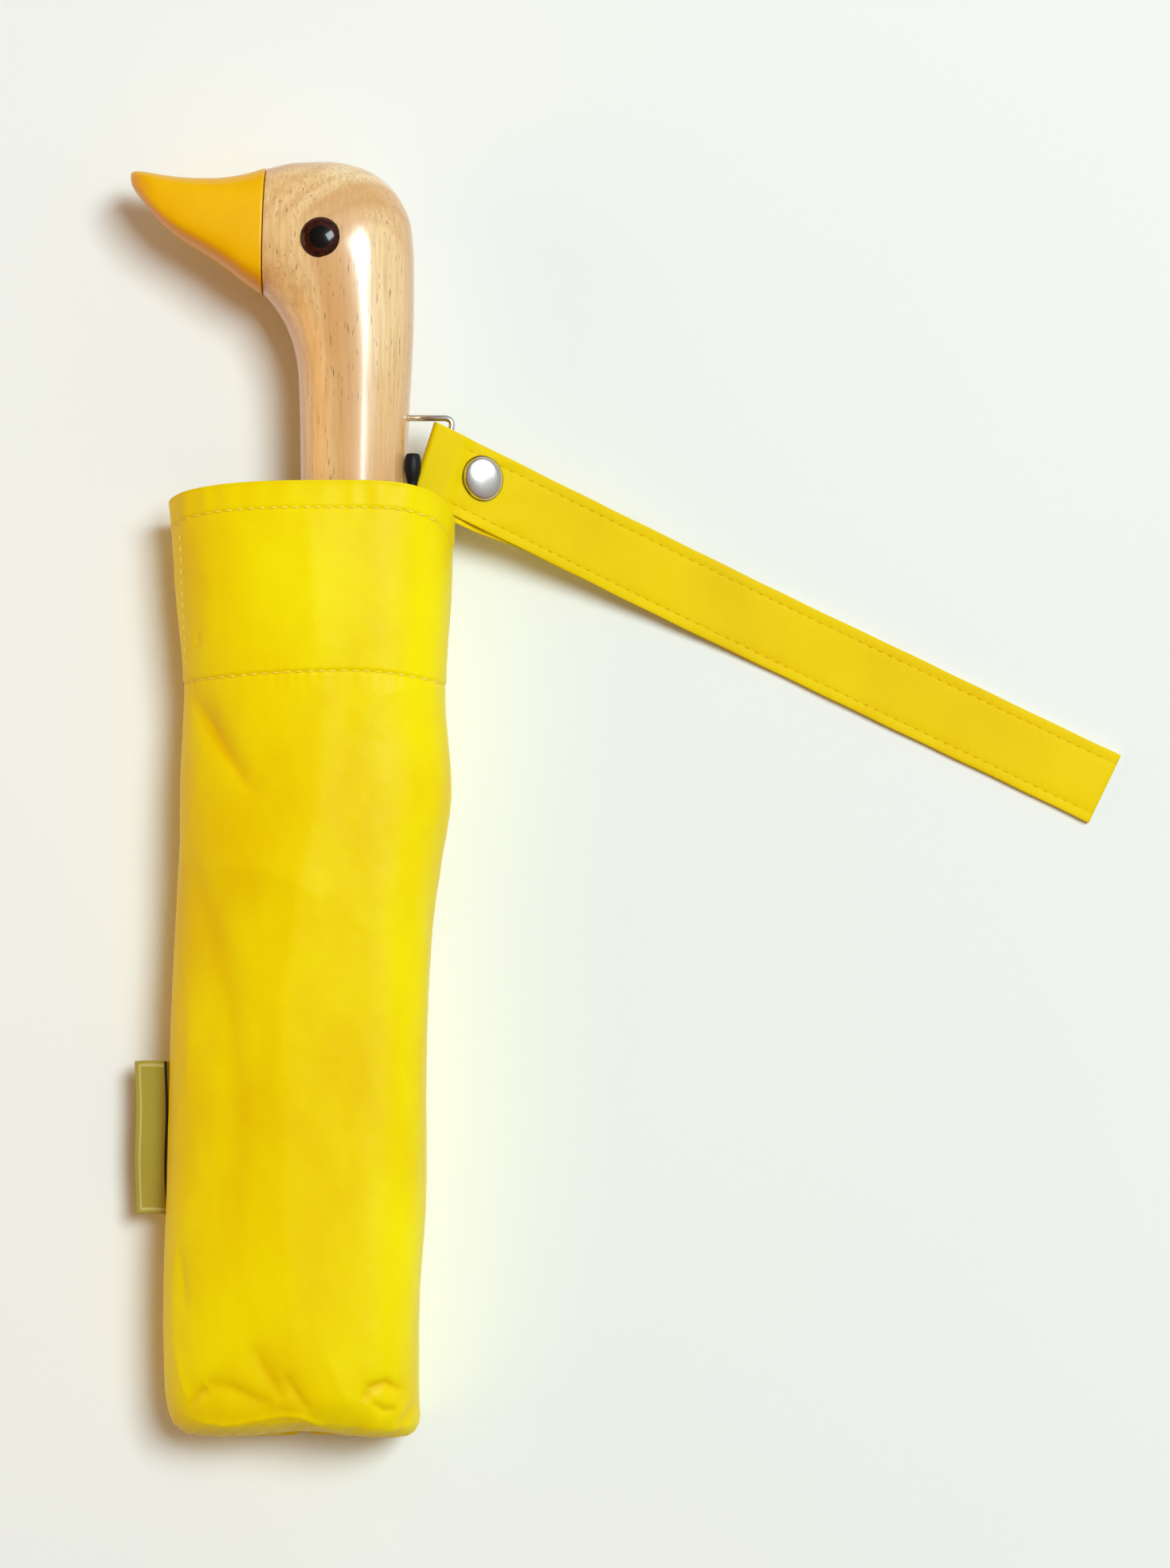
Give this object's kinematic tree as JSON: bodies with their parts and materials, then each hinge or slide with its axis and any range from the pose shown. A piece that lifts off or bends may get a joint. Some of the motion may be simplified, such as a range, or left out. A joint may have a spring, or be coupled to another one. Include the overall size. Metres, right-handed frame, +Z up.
{
  "type": "folding umbrella",
  "caption": "Compact folding umbrella with a carved duck's-head wooden handle, lying in a yellow fabric sleeve with a press-stud wrist strap on a wire ring.",
  "frame": {"origin": "on the flat underside of the sleeve, directly under the shaft, halfway along the sleeve", "axes": "+Z up from the surface it lies on, +Y along the shaft towards the handle's head, +X towards the side the wrist strap leaves from (the beak points to -X)"},
  "size_m": [0.2588, 0.3295, 0.042],
  "materials": {
    "wood": "gloss varnish",
    "beak_paint": "satin paint",
    "eye": "gloss",
    "bright_steel": "bright plated",
    "rib_steel": "black enamel",
    "black_plastic": "matte",
    "yellow_nylon": "plain-weave nylon",
    "yellow_webbing": "folded, stitched nylon",
    "label_cloth": "woven tape"
  },
  "bodies": {
    "handle": {"handle": "wood", "beak": "beak_paint", "eye_left": "eye", "eye_right": "eye", "wire_ring": "bright_steel", "lower_tube": "bright_steel"},
    "middle": {"middle_tube": "bright_steel"},
    "crown": {"upper_tube": "bright_steel", "crown_notch": "black_plastic", "crown_cap": "black_plastic", "canopy": "yellow_nylon", "canopy_tie": "yellow_nylon"},
    "runner": {"runner": "black_plastic"},
    "sleeve": {"sleeve": "yellow_nylon", "label": "label_cloth"},
    "strap": {"wrist_strap": "yellow_webbing", "stud_cap": "bright_steel", "stud_base": "bright_steel"},
    "main_rib_1": {"main_rib_1": "rib_steel"},
    "middle_rib_1": {"middle_rib_1": "rib_steel"},
    "outer_rib_1": {"outer_rib_1": "rib_steel", "rib_tip_1": "black_plastic"},
    "stretcher_1": {"stretcher_1": "bright_steel"},
    "main_rib_2": {"main_rib_2": "rib_steel"},
    "middle_rib_2": {"middle_rib_2": "rib_steel"},
    "outer_rib_2": {"outer_rib_2": "rib_steel", "rib_tip_2": "black_plastic"},
    "stretcher_2": {"stretcher_2": "bright_steel"},
    "main_rib_3": {"main_rib_3": "rib_steel"},
    "middle_rib_3": {"middle_rib_3": "rib_steel"},
    "outer_rib_3": {"outer_rib_3": "rib_steel", "rib_tip_3": "black_plastic"},
    "stretcher_3": {"stretcher_3": "bright_steel"},
    "main_rib_4": {"main_rib_4": "rib_steel"},
    "middle_rib_4": {"middle_rib_4": "rib_steel"},
    "outer_rib_4": {"outer_rib_4": "rib_steel", "rib_tip_4": "black_plastic"},
    "stretcher_4": {"stretcher_4": "bright_steel"},
    "main_rib_5": {"main_rib_5": "rib_steel"},
    "middle_rib_5": {"middle_rib_5": "rib_steel"},
    "outer_rib_5": {"outer_rib_5": "rib_steel", "rib_tip_5": "black_plastic"},
    "stretcher_5": {"stretcher_5": "bright_steel"},
    "main_rib_6": {"main_rib_6": "rib_steel"},
    "middle_rib_6": {"middle_rib_6": "rib_steel"},
    "outer_rib_6": {"outer_rib_6": "rib_steel", "rib_tip_6": "black_plastic"},
    "stretcher_6": {"stretcher_6": "bright_steel"},
    "main_rib_7": {"main_rib_7": "rib_steel"},
    "middle_rib_7": {"middle_rib_7": "rib_steel"},
    "outer_rib_7": {"outer_rib_7": "rib_steel", "rib_tip_7": "black_plastic"},
    "stretcher_7": {"stretcher_7": "bright_steel"},
    "main_rib_8": {"main_rib_8": "rib_steel"},
    "middle_rib_8": {"middle_rib_8": "rib_steel"},
    "outer_rib_8": {"outer_rib_8": "rib_steel", "rib_tip_8": "black_plastic"},
    "stretcher_8": {"stretcher_8": "bright_steel"}
  },
  "joints": [
    {"name": "middle_tube_slide", "type": "slide", "parent": "handle", "child": "middle", "axis": [0, -1, 0], "range_m": [0, 0.16]},
    {"name": "upper_tube_slide", "type": "slide", "parent": "middle", "child": "crown", "axis": [0, -1, 0], "range_m": [0, 0.16]},
    {"name": "runner_slide", "type": "slide", "parent": "crown", "child": "runner", "axis": [0, -1, 0], "range_m": [0, 0.1011], "deforming": ["canopy", "canopy_tie", "sleeve", "label"]},
    {"name": "sleeve_slide", "type": "slide", "parent": "crown", "child": "sleeve", "axis": [0, -1, 0], "range_m": [0, 0.25]},
    {"name": "strap_swing", "type": "hinge", "parent": "handle", "child": "strap", "pos_m": [0.02295, 0.12903, 0.021], "axis": [-0.2024, -0.9793, 0], "range_deg": [-25, 65]},
    {"name": "main_rib_1_open", "type": "hinge", "parent": "crown", "child": "main_rib_1", "pos_m": [0.00776, -0.105, 0.02422], "axis": [0.3827, 0, -0.9239], "range_deg": [0, 78]},
    {"name": "middle_rib_1_unfold", "type": "hinge", "parent": "main_rib_1", "child": "middle_rib_1", "pos_m": [0.00882, 0.06, 0.02465], "axis": [0.3827, 0, -0.9239], "range_deg": [-187, 0]},
    {"name": "outer_rib_1_unfold", "type": "hinge", "parent": "middle_rib_1", "child": "outer_rib_1", "pos_m": [0.0109, -0.09, 0.02552], "axis": [0.3827, 0, -0.9239], "range_deg": [0, 170]},
    {"name": "stretcher_1_open", "type": "hinge", "parent": "runner", "child": "stretcher_1", "pos_m": [0.00868, 0.075, 0.022], "axis": [0.3827, 0, -0.9239], "range_deg": [-51.49, 0]},
    {"name": "main_rib_2_open", "type": "hinge", "parent": "crown", "child": "main_rib_2", "pos_m": [0.00321, -0.105, 0.02876], "axis": [0.9239, 0, -0.3827], "range_deg": [0, 78]},
    {"name": "middle_rib_2_unfold", "type": "hinge", "parent": "main_rib_2", "child": "middle_rib_2", "pos_m": [0.00365, 0.06, 0.02982], "axis": [0.9239, 0, -0.3827], "range_deg": [-187, 0]},
    {"name": "outer_rib_2_unfold", "type": "hinge", "parent": "middle_rib_2", "child": "outer_rib_2", "pos_m": [0.00452, -0.09, 0.0319], "axis": [0.9239, 0, -0.3827], "range_deg": [0, 170]},
    {"name": "stretcher_2_open", "type": "hinge", "parent": "runner", "child": "stretcher_2", "pos_m": [0.00543, 0.075, 0.02784], "axis": [0.9239, 0, -0.3827], "range_deg": [-51.49, 0]},
    {"name": "main_rib_3_open", "type": "hinge", "parent": "crown", "child": "main_rib_3", "pos_m": [-0.00321, -0.105, 0.02876], "axis": [0.9239, 0, 0.3827], "range_deg": [0, 78]},
    {"name": "middle_rib_3_unfold", "type": "hinge", "parent": "main_rib_3", "child": "middle_rib_3", "pos_m": [-0.00365, 0.06, 0.02982], "axis": [0.9239, 0, 0.3827], "range_deg": [-187, 0]},
    {"name": "outer_rib_3_unfold", "type": "hinge", "parent": "middle_rib_3", "child": "outer_rib_3", "pos_m": [-0.00452, -0.09, 0.0319], "axis": [0.9239, 0, 0.3827], "range_deg": [0, 170]},
    {"name": "stretcher_3_open", "type": "hinge", "parent": "runner", "child": "stretcher_3", "pos_m": [-0.001, 0.075, 0.02968], "axis": [0.9239, 0, 0.3827], "range_deg": [-51.49, 0]},
    {"name": "main_rib_4_open", "type": "hinge", "parent": "crown", "child": "main_rib_4", "pos_m": [-0.00776, -0.105, 0.02422], "axis": [0.3827, 0, 0.9239], "range_deg": [0, 78]},
    {"name": "middle_rib_4_unfold", "type": "hinge", "parent": "main_rib_4", "child": "middle_rib_4", "pos_m": [-0.00882, 0.06, 0.02465], "axis": [0.3827, 0, 0.9239], "range_deg": [-187, 0]},
    {"name": "outer_rib_4_unfold", "type": "hinge", "parent": "middle_rib_4", "child": "outer_rib_4", "pos_m": [-0.0109, -0.09, 0.02552], "axis": [0.3827, 0, 0.9239], "range_deg": [0, 170]},
    {"name": "stretcher_4_open", "type": "hinge", "parent": "runner", "child": "stretcher_4", "pos_m": [-0.00684, 0.075, 0.02643], "axis": [0.3827, 0, 0.9239], "range_deg": [-51.49, 0]},
    {"name": "main_rib_5_open", "type": "hinge", "parent": "crown", "child": "main_rib_5", "pos_m": [-0.00776, -0.105, 0.01778], "axis": [-0.3827, 0, 0.9239], "range_deg": [0, 78]},
    {"name": "middle_rib_5_unfold", "type": "hinge", "parent": "main_rib_5", "child": "middle_rib_5", "pos_m": [-0.00882, 0.06, 0.01734], "axis": [-0.3827, 0, 0.9239], "range_deg": [-187, 0]},
    {"name": "outer_rib_5_unfold", "type": "hinge", "parent": "middle_rib_5", "child": "outer_rib_5", "pos_m": [-0.0109, -0.09, 0.01648], "axis": [-0.3827, 0, 0.9239], "range_deg": [0, 170]},
    {"name": "stretcher_5_open", "type": "hinge", "parent": "runner", "child": "stretcher_5", "pos_m": [-0.00868, 0.075, 0.02], "axis": [-0.3827, 0, 0.9239], "range_deg": [-51.49, 0]},
    {"name": "main_rib_6_open", "type": "hinge", "parent": "crown", "child": "main_rib_6", "pos_m": [-0.00321, -0.105, 0.01324], "axis": [-0.9239, 0, 0.3827], "range_deg": [0, 78]},
    {"name": "middle_rib_6_unfold", "type": "hinge", "parent": "main_rib_6", "child": "middle_rib_6", "pos_m": [-0.00365, 0.06, 0.01218], "axis": [-0.9239, 0, 0.3827], "range_deg": [-187, 0]},
    {"name": "outer_rib_6_unfold", "type": "hinge", "parent": "middle_rib_6", "child": "outer_rib_6", "pos_m": [-0.00452, -0.09, 0.0101], "axis": [-0.9239, 0, 0.3827], "range_deg": [0, 170]},
    {"name": "stretcher_6_open", "type": "hinge", "parent": "runner", "child": "stretcher_6", "pos_m": [-0.00543, 0.075, 0.01416], "axis": [-0.9239, 0, 0.3827], "range_deg": [-51.49, 0]},
    {"name": "main_rib_7_open", "type": "hinge", "parent": "crown", "child": "main_rib_7", "pos_m": [0.00321, -0.105, 0.01324], "axis": [-0.9239, 0, -0.3827], "range_deg": [0, 78]},
    {"name": "middle_rib_7_unfold", "type": "hinge", "parent": "main_rib_7", "child": "middle_rib_7", "pos_m": [0.00365, 0.06, 0.01218], "axis": [-0.9239, 0, -0.3827], "range_deg": [-187, 0]},
    {"name": "outer_rib_7_unfold", "type": "hinge", "parent": "middle_rib_7", "child": "outer_rib_7", "pos_m": [0.00452, -0.09, 0.0101], "axis": [-0.9239, 0, -0.3827], "range_deg": [0, 170]},
    {"name": "stretcher_7_open", "type": "hinge", "parent": "runner", "child": "stretcher_7", "pos_m": [0.001, 0.075, 0.01232], "axis": [-0.9239, 0, -0.3827], "range_deg": [-51.49, 0]},
    {"name": "main_rib_8_open", "type": "hinge", "parent": "crown", "child": "main_rib_8", "pos_m": [0.00776, -0.105, 0.01778], "axis": [-0.3827, 0, -0.9239], "range_deg": [0, 78]},
    {"name": "middle_rib_8_unfold", "type": "hinge", "parent": "main_rib_8", "child": "middle_rib_8", "pos_m": [0.00882, 0.06, 0.01734], "axis": [-0.3827, 0, -0.9239], "range_deg": [-187, 0]},
    {"name": "outer_rib_8_unfold", "type": "hinge", "parent": "middle_rib_8", "child": "outer_rib_8", "pos_m": [0.0109, -0.09, 0.01648], "axis": [-0.3827, 0, -0.9239], "range_deg": [0, 170]},
    {"name": "stretcher_8_open", "type": "hinge", "parent": "runner", "child": "stretcher_8", "pos_m": [0.00684, 0.075, 0.01557], "axis": [-0.3827, 0, -0.9239], "range_deg": [-51.49, 0]}
  ],
  "couplings": [
    {"joint": "main_rib_1_open", "follows": "runner_slide", "rad_per_m": 13.465},
    {"joint": "middle_rib_1_unfold", "follows": "runner_slide", "rad_per_m": -32.282},
    {"joint": "outer_rib_1_unfold", "follows": "runner_slide", "rad_per_m": 29.347},
    {"joint": "stretcher_1_open", "follows": "runner_slide", "rad_per_m": -8.8892},
    {"joint": "main_rib_2_open", "follows": "runner_slide", "rad_per_m": 13.465},
    {"joint": "middle_rib_2_unfold", "follows": "runner_slide", "rad_per_m": -32.282},
    {"joint": "outer_rib_2_unfold", "follows": "runner_slide", "rad_per_m": 29.347},
    {"joint": "stretcher_2_open", "follows": "runner_slide", "rad_per_m": -8.8892},
    {"joint": "main_rib_3_open", "follows": "runner_slide", "rad_per_m": 13.465},
    {"joint": "middle_rib_3_unfold", "follows": "runner_slide", "rad_per_m": -32.282},
    {"joint": "outer_rib_3_unfold", "follows": "runner_slide", "rad_per_m": 29.347},
    {"joint": "stretcher_3_open", "follows": "runner_slide", "rad_per_m": -8.8892},
    {"joint": "main_rib_4_open", "follows": "runner_slide", "rad_per_m": 13.465},
    {"joint": "middle_rib_4_unfold", "follows": "runner_slide", "rad_per_m": -32.282},
    {"joint": "outer_rib_4_unfold", "follows": "runner_slide", "rad_per_m": 29.347},
    {"joint": "stretcher_4_open", "follows": "runner_slide", "rad_per_m": -8.8892},
    {"joint": "main_rib_5_open", "follows": "runner_slide", "rad_per_m": 13.465},
    {"joint": "middle_rib_5_unfold", "follows": "runner_slide", "rad_per_m": -32.282},
    {"joint": "outer_rib_5_unfold", "follows": "runner_slide", "rad_per_m": 29.347},
    {"joint": "stretcher_5_open", "follows": "runner_slide", "rad_per_m": -8.8892},
    {"joint": "main_rib_6_open", "follows": "runner_slide", "rad_per_m": 13.465},
    {"joint": "middle_rib_6_unfold", "follows": "runner_slide", "rad_per_m": -32.282},
    {"joint": "outer_rib_6_unfold", "follows": "runner_slide", "rad_per_m": 29.347},
    {"joint": "stretcher_6_open", "follows": "runner_slide", "rad_per_m": -8.8892},
    {"joint": "main_rib_7_open", "follows": "runner_slide", "rad_per_m": 13.465},
    {"joint": "middle_rib_7_unfold", "follows": "runner_slide", "rad_per_m": -32.282},
    {"joint": "outer_rib_7_unfold", "follows": "runner_slide", "rad_per_m": 29.347},
    {"joint": "stretcher_7_open", "follows": "runner_slide", "rad_per_m": -8.8892},
    {"joint": "main_rib_8_open", "follows": "runner_slide", "rad_per_m": 13.465},
    {"joint": "middle_rib_8_unfold", "follows": "runner_slide", "rad_per_m": -32.282},
    {"joint": "outer_rib_8_unfold", "follows": "runner_slide", "rad_per_m": 29.347},
    {"joint": "stretcher_8_open", "follows": "runner_slide", "rad_per_m": -8.8892}
  ]
}
